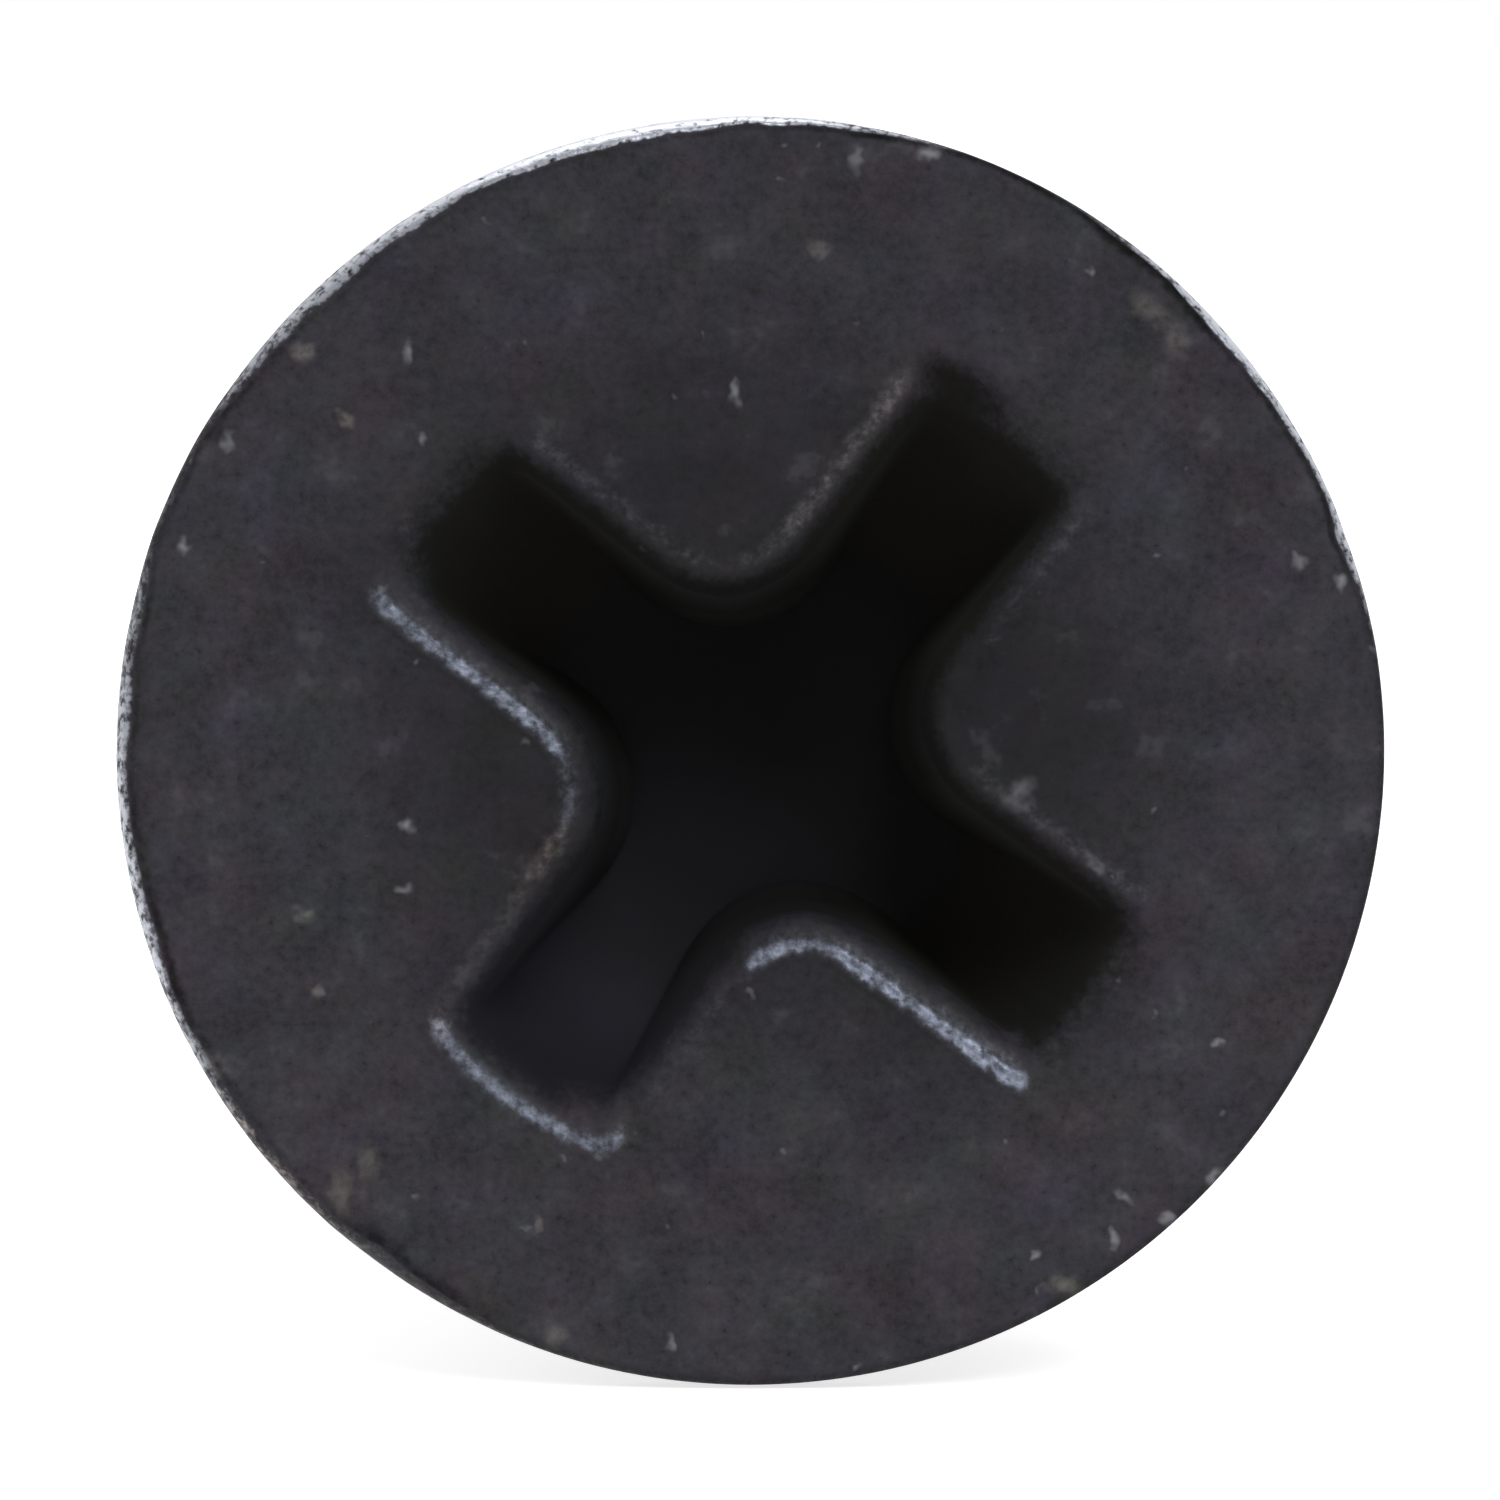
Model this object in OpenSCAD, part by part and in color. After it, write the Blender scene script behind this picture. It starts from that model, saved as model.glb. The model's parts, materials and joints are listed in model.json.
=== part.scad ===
// Coarse drywall screw: a bugle head with a cross recess, a plain neck and a
// deep single-start thread that runs down to a sharp point. It is cold formed
// from one piece of wire, so it is one solid.
// The screw is drawn with the face of its head at Z = 0 and its point up. It
// is then laid down as it comes to rest, on the rim of the head and on the
// crests of the thread, with the head facing -Y.

/* [Screw] */
// Overall length, from the face of the head to the point
length = 32; // [25:0.5:50]
// Distance from the face of the head to the end of the plain neck
neck_end = 6; // [5.5:0.5:10]
// Diameter of the plain neck
neck_d = 2.7; // [2.6:0.05:3]
// Angle between the axis and the cone from the neck to the root of the thread
shoulder_slope = 25; // [15:5:60]

/* [Head] */
// Diameter of the head
head_d = 8.2; // [7.8:0.1:8.6]
// Height of the upright band around the rim
band_h = 0.3; // [0.2:0.05:0.5]
// Radius of the edge between the face and the band
rim_r = 0.08; // [0.04:0.01:0.15]
// Height of the hollow flare between the band and the neck
flare_h = 3.8; // [3.4:0.1:4.6]

/* [Recess] */
// Width across two opposite wings, inside the rounded lip
recess_d = 5.1; // [4.4:0.05:5.4]
// Width of one wing, inside the rounded lip
wing_w = 1.06; // [0.9:0.02:1.2]
// Radius of the metal lobe between two wings
lobe_r = 0.73; // [0.5:0.01:0.9]
// Depth from the face to the tip of the recess
recess_depth = 3; // [2.6:0.05:3.3]
// Angle between the end of a wing and the axis
wing_slope = 26.5; // [24:0.5:30]
// Lean of each side of a wing
wing_draft = 4; // [1:0.5:6]
// Slope of the cone at the bottom, from the face
bottom_slope = 28; // [20:1:35]
// Radius of the lip around the recess
lip_r = 0.16; // [0.06:0.01:0.2]
// Turn of the recess around the axis
recess_turn = 53.3; // [0:0.1:90]
// Distance of the recess from the middle of the face, to the right
recess_off_x = 0.08; // [-0.15:0.01:0.15]
// Distance of the recess from the middle of the face, upwards
recess_off_y = -0.03; // [-0.15:0.01:0.15]

/* [Thread] */
// Diameter over the crests
thread_d = 3.8; // [3.6:0.05:4.2]
// Diameter at the root
root_d = 2.5; // [2.2:0.05:2.55]
// Distance from one crest to the next
pitch = 2.8; // [2.2:0.1:3.4]
// Width of the ridge at its foot
ridge_w = 0.9; // [0.6:0.05:1.2]
// Width of the flat along the crest
crest_w = 0.1; // [0.06:0.01:0.2]
// Turns over which the thread rises at its start
rise_turns = 0.7; // [0.3:0.1:1.5]
// Turn of the thread around the axis, at which two crests bear on the floor
thread_turn = 105; // [0:1:359]

/* [Point] */
// Length of the cone of the root
point_l = 6; // [4:0.5:8]
// Length over which the crests run down to the point
crest_l = 4.6; // [3:0.1:8]
// Length of bare cone at the point
bare_l = 0.8; // [0.5:0.1:1.5]
// Radius of the blunt tip
tip_r = 0.06; // [0.03:0.01:0.12]

/* [Hidden] */

// Facets around the turned surfaces
$fn = 120;
// Radii
head_r = head_d / 2;
neck_r = neck_d / 2;
root_r = root_d / 2;
thread_r = thread_d / 2;

// The cone of the shoulder runs on to its end inside the thread
core_r = root_r / 2;
core_end = neck_end + (neck_r - core_r) / tan(shoulder_slope);

// Where the flare meets the neck, and the radius of its hollow
flare_end = band_h + flare_h;
flare_out = head_r - neck_r;
hollow_r = (flare_out * flare_out + flare_h * flare_h) / (2 * flare_out);

// Middle of each lobe, from the middle of the recess
lobe_mid = wing_w / 2 + lobe_r;
// Depth at which the ends of the wings meet the cone at the bottom
wing_end = (recess_depth / tan(bottom_slope) - recess_d / 2) / (1 / tan(bottom_slope) - tan(wing_slope));
// Height of the cutter above the face
cut_over = 0.2;
// Steps over the lip, the walls and the bottom cone, and around an eighth of the outline
lip_steps = 4;
wall_steps = 3;
bottom_steps = 4;
tip_points = 2;
side_points = 7;
// Widest corner of a wing as an angle, and the last ring above the tip as a share
corner_max = 40;
last_ring = 0.9;

// Steps in one turn of the thread
turn_steps = 36;
// Full height of the ridge
ridge_h = thread_r - root_r;
// Turns of the thread that are hidden in the neck, and where they start
hidden_turns = 1.1;
thread_start = neck_end - hidden_turns * pitch;
// Steps from the start of the thread to its end
ridge_steps = floor((length - bare_l - thread_start) / pitch * turn_steps);
// Turns over which the thread sinks at the point
sink_turns = 0.3;
// Length of the rounded end in front of the last ring
tip_l = 0.05;
// Place across the ridge and height of each corner of its profile, as shares
foot = [0, 0];
waist = [0.5, 0.15];
crest = [1, 1];
profile = [foot, waist, crest];
columns = 2 * len(profile) + 1;

// Share of a value that has passed between two limits, from 0 to 1
function share(value, low, high) = max(0, min(1, (value - low) / (high - low)));

// How far the rounded lip widens the recess at depth z
function lip_at(z) = z < lip_r ? lip_r - sqrt(lip_r * lip_r - pow(lip_r - max(z, 0), 2)) : 0;

// Half width of a wing at depth z
function half_wing(z) = wing_w / 2 + lip_at(z) - max(z, 0) * tan(wing_draft);

// Reach of the recess from its axis at depth z
function reach(z) = min(
    recess_d / 2 + lip_at(z) - max(z, 0) * tan(wing_slope),
    (recess_depth - z) / tan(bottom_slope));

// Angle from the middle of a wing to its corner
function corner(far, half, lobe) = min(corner_max,
    far >= norm([lobe_mid, half]) ? asin(half / far) :
    far > lobe_mid * sqrt(2) - lobe ?
        45 - acos((far * far + 2 * lobe_mid * lobe_mid - lobe * lobe) / (2 * far * lobe_mid * sqrt(2))) :
        45);

// Distance from the axis to the side of a wing or to the lobe, at an angle from the wing
function side(angle, half, lobe) = angle < atan2(half, lobe_mid) ?
    half / sin(angle) :
    lobe_mid * (cos(angle) + sin(angle)) - sqrt(max(0,
        lobe * lobe - pow(lobe_mid * (cos(angle) - sin(angle)), 2)));

// One eighth of the outline at depth z, as angle and radius
function eighth(z) =
    let (half = half_wing(z), far = reach(z), lobe = lobe_mid - half, turn = corner(far, half, lobe))
    concat(
        [for (i = [0 : tip_points]) [turn * i / tip_points, far]],
        [for (i = [1 : side_points])
            let (angle = turn + (45 - turn) * i / side_points)
            [angle, min(far, side(angle, half, lobe))]]);

// One quarter, with the far eighth mirrored about the middle of the lobe
function quarter(z) =
    let (near = eighth(z), last = len(near) - 1)
    concat(near, [for (i = [last - 1 : -1 : 1]) [90 - near[i][0], near[i][1]]]);

// The whole outline at depth z, as points
function cross_ring(z) = [
    for (wing = [0 : 3], p = quarter(z))
        [p[1] * cos(p[0] + 90 * wing), p[1] * sin(p[0] + 90 * wing), z]];

// The cutter for the cross recess, with its mouth at Z = 0
module recess() {
    depths = concat(
        [-cut_over],
        [for (i = [0 : lip_steps]) lip_r * (1 - cos(90 * i / lip_steps))],
        [for (i = [1 : wall_steps]) lip_r + (wing_end - lip_r) * i / wall_steps],
        [for (i = [1 : bottom_steps]) wing_end + (recess_depth - wing_end) * last_ring * i / bottom_steps]);
    rings = [for (z = depths) cross_ring(z)];
    n = len(rings[0]);
    m = len(rings);
    polyhedron(
        points = concat([for (ring = rings, p = ring) p], [[0, 0, recess_depth]]),
        faces = concat(
            [[for (i = [0 : n - 1]) i]],
            [for (k = [0 : m - 2], i = [0 : n - 1])
                [k * n + i, (k + 1) * n + i, (k + 1) * n + (i + 1) % n]],
            [for (k = [0 : m - 2], i = [0 : n - 1])
                [k * n + i, (k + 1) * n + (i + 1) % n, k * n + (i + 1) % n]],
            [for (i = [0 : n - 1])
                [(m - 1) * n + i, m * n, (m - 1) * n + (i + 1) % n]]));
}

// Section of the head and the neck: radius along X, distance from the face along Y
module blank_section() {
    difference() {
        square([head_r, flare_end]);
        translate([neck_r + hollow_r, flare_end]) circle(hollow_r);
        translate([head_r - rim_r, 0]) difference() {
            square(rim_r);
            translate([0, rim_r]) circle(rim_r);
        }
    }
    polygon([
        [0, flare_end / 2], [neck_r, flare_end / 2], [neck_r, neck_end],
        [core_r, core_end], [0, core_end]]);
}

// Radius of the root and of the crest at distance z from the face
function root_at(z) = tip_r + (root_r - tip_r) * share(length - z, 0, point_l);
function crest_at(z) = max(root_at(z), thread_r * share(length - z, 0, crest_l));

// Distance of the ridge from the face after some steps
function helix_z(i) = i <= ridge_steps ?
    thread_start + pitch * i / turn_steps :
    let (last = thread_start + pitch * ridge_steps / turn_steps)
    last + (length - tip_l - last) * (i - ridge_steps) / turn_steps;

// Height and width of the ridge after some steps
function rise(i) = (crest_at(helix_z(i)) - root_at(helix_z(i)))
    * share(i / turn_steps, 1, 1 + rise_turns)
    * share((ridge_steps - i) / turn_steps, 0, sink_turns);
function width(i) = crest_w + (ridge_w - crest_w) * min(1, rise(i) / ridge_h);

// Point of the thread after some steps, at a place across the ridge and a share of its height
function thread_point(i, across, up) =
    let (z = helix_z(i) + across, r = root_at(z) + up * rise(i), angle = thread_turn + 360 * i / turn_steps)
    [r * cos(angle), r * sin(angle), z];

// Place across the ridge of one corner of the profile, on the near side
function near_side(i, p) = -crest_w / 2 - (1 - p[0]) * (width(i) - crest_w) / 2;

// One column of points along the axis: the ridge, then the middle of the root
function column(i) =
    let (
        near = [for (p = profile) [near_side(i, p), p[1]]],
        foot_next = helix_z(i + turn_steps) + near_side(i + turn_steps, foot),
        middle = (helix_z(i) - near_side(i, foot) + foot_next) / 2)
    concat(
        [for (p = near) thread_point(i, p[0], p[1])],
        [for (k = [len(near) - 1 : -1 : 0]) thread_point(i, -near[k][0], near[k][1])],
        [thread_point(i, middle - helix_z(i), 0)]);

// Number of a point of the thread in the list below
function thread_at(i, j) = j == columns ? thread_at(i + turn_steps, 0) :
    i <= ridge_steps ? i * columns + j : ridge_steps * columns + columns - 1 + i - ridge_steps;

// Thread and point: a ridge wound around the root, closed inside the neck and at the tip
module thread() {
    last = ridge_steps + turn_steps;
    inside = thread_at(last, 0) + 1;
    tip = inside + 1;
    polyhedron(
        points = concat(
            [for (i = [0 : ridge_steps], p = column(i)) p],
            [for (i = [ridge_steps + 1 : last]) thread_point(i, near_side(i, foot), 0)],
            [[0, 0, thread_start + pitch / 2], [0, 0, length]]),
        faces = concat(
            [for (i = [0 : ridge_steps - 1], j = [0 : columns - 1])
                [thread_at(i, j), thread_at(i, j + 1), thread_at(i + 1, j + 1)]],
            [for (i = [0 : ridge_steps - 1], j = [0 : columns - 1])
                [thread_at(i, j), thread_at(i + 1, j + 1), thread_at(i + 1, j)]],
            [for (j = [0 : columns - 1]) [inside, thread_at(0, j + 1), thread_at(0, j)]],
            [for (i = [0 : turn_steps - 1]) [inside, thread_at(i, 0), thread_at(i + 1, 0)]],
            [for (j = [0 : columns - 1])
                [thread_at(ridge_steps + 1, 0), thread_at(ridge_steps, j), thread_at(ridge_steps, j + 1)]],
            [[thread_at(ridge_steps + 1, 0), thread_at(last, 0), tip]],
            [for (i = [ridge_steps + 1 : last - 1]) [thread_at(i, 0), tip, thread_at(i + 1, 0)]]));
}

// The screw as it is drawn, face down and point up
module upright_screw() {
    difference() {
        union() {
            rotate_extrude() blank_section();
            thread();
        }
        translate([recess_off_x, -recess_off_y, 0]) rotate([0, 0, -recess_turn]) recess();
    }
}

// Tilt of the axis at rest: the least tilt at which a crest comes down to the floor
crests = [for (i = [turn_steps : ridge_steps]) thread_point(i, crest_w / 2, 1)];
rest_tilt = min([for (p = crests) if (p[1] > 0) atan((head_r - p[1]) / (p[2] - band_h))]);
// Height of the middle of the face above the floor
face_z = head_r * cos(rest_tilt) + band_h * sin(rest_tilt);
// Ends of the screw along Y, with the middle of the face at Y = 0
near_y = -(head_r - rim_r) * sin(rest_tilt) - rim_r * (1 - cos(rest_tilt));
far_y = length * cos(rest_tilt);

module screw() {
    color([0.2, 0.2, 0.22])
        translate([0, -(near_y + far_y) / 2, face_z])
            rotate([-(90 + rest_tilt), 0, 0])
                upright_screw();
}

screw();
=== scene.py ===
import json
import math

import bpy
import numpy as np
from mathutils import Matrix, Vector, noise

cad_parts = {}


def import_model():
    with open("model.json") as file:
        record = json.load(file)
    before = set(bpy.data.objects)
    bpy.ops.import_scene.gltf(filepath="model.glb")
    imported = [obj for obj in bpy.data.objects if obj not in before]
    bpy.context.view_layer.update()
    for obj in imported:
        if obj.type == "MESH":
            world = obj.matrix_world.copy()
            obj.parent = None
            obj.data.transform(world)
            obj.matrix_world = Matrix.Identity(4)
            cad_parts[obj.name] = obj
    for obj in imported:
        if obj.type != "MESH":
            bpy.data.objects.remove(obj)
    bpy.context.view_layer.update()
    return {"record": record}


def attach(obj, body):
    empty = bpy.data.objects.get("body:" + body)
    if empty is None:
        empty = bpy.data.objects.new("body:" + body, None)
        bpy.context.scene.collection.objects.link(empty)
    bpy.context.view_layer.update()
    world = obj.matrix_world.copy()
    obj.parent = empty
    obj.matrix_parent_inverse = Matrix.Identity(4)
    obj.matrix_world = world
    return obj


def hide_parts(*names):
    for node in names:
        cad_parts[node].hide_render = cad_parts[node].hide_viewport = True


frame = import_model()

# Lengths below are in millimetres and angles in degrees, unless a name says otherwise.
# The screw is worked out in its own frame: x to the right and up in the plane of the
# head's face, as the camera sees it, and deep along the axis from the face to the point.
MM = 0.001

# Sizes of the CAD part
LENGTH = 32.0
NECK_R, NECK_END, SHOULDER = 1.35, 6.0, 25.0
HEAD_R, BAND_H, FLARE_END, HOLLOW_R = 4.1, 0.3, 4.1, 4.0005
WING_W, RECESS_D, LOBE_MID, RECESS_DEEP = 1.06, 5.1, 1.26, 3.0
WING_SLOPE, WING_DRAFT, BOTTOM_SLOPE, LIP_R = 26.5, 4.0, 28.0, 0.16
RECESS_TURN, RECESS_X, RECESS_UP = 53.3, 0.08, -0.03
THREAD_R, ROOT_R, PITCH, RIDGE_W, CREST_W = 1.9, 1.25, 2.8, 0.9, 0.1
THREAD_START, THREAD_TURN, RISE_TURNS, SINK_TURNS = 2.92, 105.0, 0.7, 0.3
POINT_L, CREST_L, BARE_L, TIP_R = 6.0, 4.6, 0.8, 0.06

mounts = {m["name"]: m for m in frame["record"]["mounts"]}
AXIS = Vector(mounts["bugle_seat"]["axis"]).normalized()
RIGHT = Vector((1.0, 0.0, 0.0))
UP = RIGHT.cross(AXIS)
MIDDLE = Vector(mounts["bugle_seat"]["pos_m"]) - AXIS * FLARE_END * MM


def world(x, up, deep):
    """A point of the screw's own frame, in metres in the row frame."""
    return MIDDLE + (RIGHT * x + UP * up + AXIS * deep) * MM


def sin(a):
    return np.sin(np.radians(a))


def cos(a):
    return np.cos(np.radians(a))


def tan(a):
    return math.tan(math.radians(a))


def ramp(value, low, high):
    """0 up to low, 1 from high, smooth between."""
    t = np.clip((np.asarray(value, float) - low) / (high - low), 0, 1)
    return t * t * (3 - 2 * t)


def bell(value, middle, width):
    """1 at the middle, fading out on both sides."""
    return np.exp(-(((np.asarray(value, float) - middle) / width) ** 2))


def window(angle, start, end, soft):
    """1 where an angle lies between start and end, going round, with soft ends."""
    half = (end - start) / 2
    off = np.abs((np.asarray(angle, float) - start - half + 180) % 360 - 180)
    return 1 - ramp(off, half - soft / 2, half + soft / 2)


def wobble(points, scale, seed):
    """Smooth noise from -1 to 1 at some points, with scale in cycles per millimetre."""
    move = Vector((seed * 7.31, seed * 3.17, seed * 5.73))
    return np.array([noise.noise(Vector(p) * scale + move) for p in points])


def flat_points(x, up):
    """Points of the face's plane, one a row."""
    return np.stack([x, up, np.zeros(len(x))], 1)


# Camera, straight in front of the head and a little to its right
VIEW_W, VIEW_X = 9.681, 0.003
LENS, SENSOR = 200.0, 36.0
NEAR_CLIP_M, FAR_CLIP_M = 0.001, 20.0


def add_camera():
    data = bpy.data.cameras.new("camera")
    data.lens = LENS
    data.sensor_width = SENSOR
    data.clip_start = NEAR_CLIP_M
    data.clip_end = FAR_CLIP_M
    camera = bpy.data.objects.new("camera", data)
    bpy.context.scene.collection.objects.link(camera)
    camera.location = world(VIEW_X, 0.0, -VIEW_W * LENS / SENSOR)
    camera.rotation_mode = "QUATERNION"
    camera.rotation_quaternion = AXIS.to_track_quat("-Z", "Y")
    bpy.context.scene.camera = camera


add_camera()

# Outline of the recess, in columns of points: each arm has two eighths of it, and each
# eighth has its share of the arm's end and then the arm's side
END_COLS, SIDE_COLS = 26, 70
EIGHTH = END_COLS + SIDE_COLS
ARM_COLS = 2 * EIGHTH
COLS = 4 * ARM_COLS
CORNER_MIN, CORNER_MAX = 20.0, 40.0
SAMPLES = 901
# The arms as the photo shows them: turn from the even cross, counterclockwise from upper right
ARM_TURN = (-0.5, -0.9, 0.7, 0.5)
ARM_TURN_HALF = 30.0


def eighth(out, deep):
    """Angle from the middle of an arm and radius, for one eighth of the outline."""
    half = WING_W / 2 + out - deep * tan(WING_DRAFT)
    far = min(RECESS_D / 2 + out - deep * tan(WING_SLOPE), (RECESS_DEEP - deep) / tan(BOTTOM_SLOPE))
    lobe = LOBE_MID - half
    a = np.linspace(0.01, 45.0, SAMPLES)
    # The side is straight up to the lobe, which is round about a middle at LOBE_MID both ways
    gap = np.maximum(0, lobe ** 2 - (LOBE_MID * (cos(a) - sin(a))) ** 2)
    round_lobe = LOBE_MID * (cos(a) + sin(a)) - np.sqrt(gap)
    side = np.where(a < math.degrees(math.atan2(half, LOBE_MID)), half / sin(a), round_lobe)
    near = side < far
    corner = min(CORNER_MAX, a[np.argmax(near)] if near.any() else CORNER_MAX)
    r = np.minimum(far, side)
    # Even angles over the arm's end, and even lengths along its side
    rest = a >= corner
    x, y = r[rest] * cos(a[rest]), r[rest] * sin(a[rest])
    run = np.concatenate([[0], np.cumsum(np.hypot(np.diff(x), np.diff(y)))])
    at = np.interp(np.linspace(0, run[-1], SIDE_COLS + 1), run, a[rest])
    angles = np.concatenate([np.linspace(0, corner, END_COLS, endpoint=False), at])
    # Deep down, where the end takes most of the eighth, the angles are even throughout
    even = float(ramp(corner, CORNER_MIN, CORNER_MAX))
    angles = angles * (1 - even) + np.linspace(0, 45, EIGHTH + 1) * even
    return angles, np.interp(angles, a, r)


def outline(out, deep, soft):
    """The whole outline, out from the recess's wall by some distance, at a depth.

    soft is the number of rounds of smoothing that its corners get.
    """
    angles, radii = eighth(out, deep)
    angles = np.concatenate([angles, 90 - angles[-2:0:-1]])
    radii = np.concatenate([radii, radii[-2:0:-1]])
    at = np.concatenate([angles + 90 * arm for arm in range(4)])
    points = np.tile(radii, 4) * np.exp(1j * np.radians(at))
    for _ in range(soft):
        points = (np.roll(points, 1) + 2 * points + np.roll(points, -1)) / 4
    turn = 0
    for arm, arm_turn in enumerate(ARM_TURN):
        turn = turn + arm_turn * bell((at - 90 * arm + 180) % 360 - 180, 0, ARM_TURN_HALF)
    return points * np.exp(1j * np.radians(RECESS_TURN + turn))


class Skin:
    """Rings of points joined to one surface, with mask values for each point."""

    def __init__(self):
        self.co, self.masks, self.faces = [], [], []
        self.last = None

    # Masks: bare metal with its painted highlight, brown, painted shade and wear
    def add(self, x, up, deep, burnish=0.0, warm=0.0, inside=0.0, wear=0.0):
        """Adds points and returns their numbers."""
        n = len(x)
        first = len(self.co)
        values = (x, up, deep, burnish, warm, inside, wear)
        for row in zip(*[np.broadcast_to(np.asarray(v, float), (n,)) for v in values]):
            self.co.append(row[:3])
            self.masks.append(row[3:])
        return np.arange(first, first + n)

    def turned(self, r, at, deep, **masks):
        """Adds points round the axis."""
        return self.add(r * cos(at), r * sin(at), deep, **masks)

    def quad(self, a, b, c, d):
        """A face between four points, or between three where two are the same."""
        ids = [a]
        for i in (b, c, d):
            if i not in ids:
                ids.append(i)
        if len(ids) > 2:
            self.faces.append(tuple(int(i) for i in ids))

    def triangles(self, *corners):
        self.faces += [tuple(int(i) for i in three) for three in corners]

    def bridge(self, inner, outer):
        """Joins two closed rings with the same count, or with twice the count on one side."""
        n, m = len(inner), len(outer)
        if n == m:
            for i in range(n):
                j = (i + 1) % n
                self.quad(inner[i], outer[i], outer[j], inner[j])
        elif n == 2 * m:
            for k in range(m):
                a, b, c = inner[2 * k], inner[2 * k + 1], inner[(2 * k + 2) % n]
                d, e = outer[k], outer[(k + 1) % m]
                self.triangles((a, d, b), (b, d, e), (b, e, c))
        else:
            for k in range(n):
                a, b = inner[k], inner[(k + 1) % n]
                c, d, e = outer[2 * k], outer[2 * k + 1], outer[(2 * k + 2) % m]
                self.triangles((a, c, d), (a, d, b), (b, d, e))

    def join(self, ring):
        """Joins a ring to the last one."""
        self.bridge(self.last, ring)
        self.last = ring

    def sheet(self, columns):
        """Faces between neighbouring columns of points."""
        for left, right in zip(columns, columns[1:]):
            for row in range(len(left) - 1):
                self.quad(left[row], right[row], right[row + 1], left[row + 1])

    def fan(self, ring, tip, at_end):
        """Closes a ring with a point, at the end of the screw or at the bottom of its recess."""
        n = len(ring)
        for i in range(n):
            a, b = ring[i], ring[(i + 1) % n]
            self.triangles((b, a, tip) if at_end else (a, b, tip))


skin = Skin()
RECESS_MID = complex(RECESS_X, RECESS_UP)
# Place along the outline, in arms: 0 is the middle of the upper right arm's end, 1 the upper left's
column = np.arange(COLS) / ARM_COLS


def along(start, end, soft):
    """1 on a stretch of the outline, with start and end in arms."""
    return window(column * 90, start * 90, end * 90, soft * 90)


def stretches(*parts):
    """Sum of some stretches: strength, start, end and softness of each."""
    return sum(strength * along(start, end, soft) for strength, start, end, soft in parts)


# Where the rolled lip is worn bare with a painted highlight, and how much, and where it is brown
BRIGHT = stretches(
    (0.92, 1.125, 1.46, 0.05), (0.57, 1.46, 1.62, 0.06), (0.44, 1.62, 1.86, 0.06),
    (0.68, 1.86, 2.17, 0.03), (0.35, 2.20, 2.40, 0.08), (0.92, 2.43, 2.868, 0.03),
    (0.35, 3.60, 3.86, 0.1), (0.45, 3.14, 3.45, 0.1), (0.5, 0.14, 0.42, 0.08), (0.38, 0.42, 0.84, 0.08),
)
BROWN = stretches((1.0, 1.56, 1.86, 0.08), (0.7, 0.12, 0.66, 0.1), (0.4, 3.12, 3.45, 0.1))
# The bead that the lip carries: how far out its middle is, its height and half its width
BEAD_OUT, BEAD_H = 0.195, 0.02
BEAD_W = 0.09 - 0.022 * ramp(BRIGHT, 0.55, 0.8)
# Where the inner side of the lip catches light too, as less painted shade and a painted highlight
LIT = stretches((1.0, 1.10, 1.60, 0.10), (0.8, 2.07, 2.22, 0.08), (1.0, 2.42, 2.87, 0.06))
# Where the face beyond the lip darkens as painted shade, and how far out that starts and ends
FADE = stretches(
    (0.6, 0.89, 1.09, 0.10), (0.5, -0.13, 0.03, 0.06), (0.9, 0.03, 0.14, 0.08), (0.5, 2.89, 3.12, 0.04),
)
FADE_FROM = 0.04 + stretches((0.14, 0.03, 0.14, 0.08))
FADE_TO = 0.36
# Where the edge sinks in a broad soft slope, how deep and how wide
SAG = stretches(
    (0.09, 3.52, 3.86, 0.08), (0.07, 2.16, 2.42, 0.06), (0.07, 2.90, 3.10, 0.06),
    (0.05, 0.86, 1.12, 0.06), (0.05, -0.12, 0.02, 0.06), (0.11, 0.02, 0.14, 0.06),
)
SAG_OUT = 0.40
# The dark line of painted shade beyond the brightest bead: how far out, half its width and its strength
DARK_LINE_OUT, DARK_LINE_HALF, DARK_LINE = 0.29, 0.016, 0.2
# How far the outline wanders in long waves and in small steps, at the face
WAVE, ROUGH = 0.02, 0.006
# Rounds of smoothing at the face and at the walls
EDGE_SOFT, WALL_SOFT = 36, 4
# Depth at which the slope of the arms' ends meets the cone of the bottom
WING_END = (RECESS_DEEP / tan(BOTTOM_SLOPE) - RECESS_D / 2) / (1 / tan(BOTTOM_SLOPE) - tan(WING_SLOPE))
# Depth from which the wall's corners get softer, the wall's rings, which get finer towards the
# face (first and last depth, count, columns that a point stands for, rounds of smoothing),
# and how far out the rings around the lip lie
WALL_END = 0.95
WALL_RINGS = (
    (RECESS_DEEP - 0.12, WING_END + 0.05, 8, 4, 1),
    (WING_END, WALL_END, 13, 2, WALL_SOFT),
    (0.87, LIP_R + 0.03, 9, 1, None),
)
LIP_STEPS = 12
LIP_RINGS = (0.17, 0.182, 0.195, 0.21, 0.225, 0.238, 0.25, 0.262, 0.275, 0.29, 0.32, 0.37, 0.42)

edge = outline(LIP_R, 0, EDGE_SOFT)
edge_points = flat_points(edge.real, edge.imag)
edge_rough = wobble(edge_points, 9.0, 1) * 0.7 + wobble(edge_points, 24.0, 2) * 0.5
edge_wave = wobble(edge_points, 2.2, 3)


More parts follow.
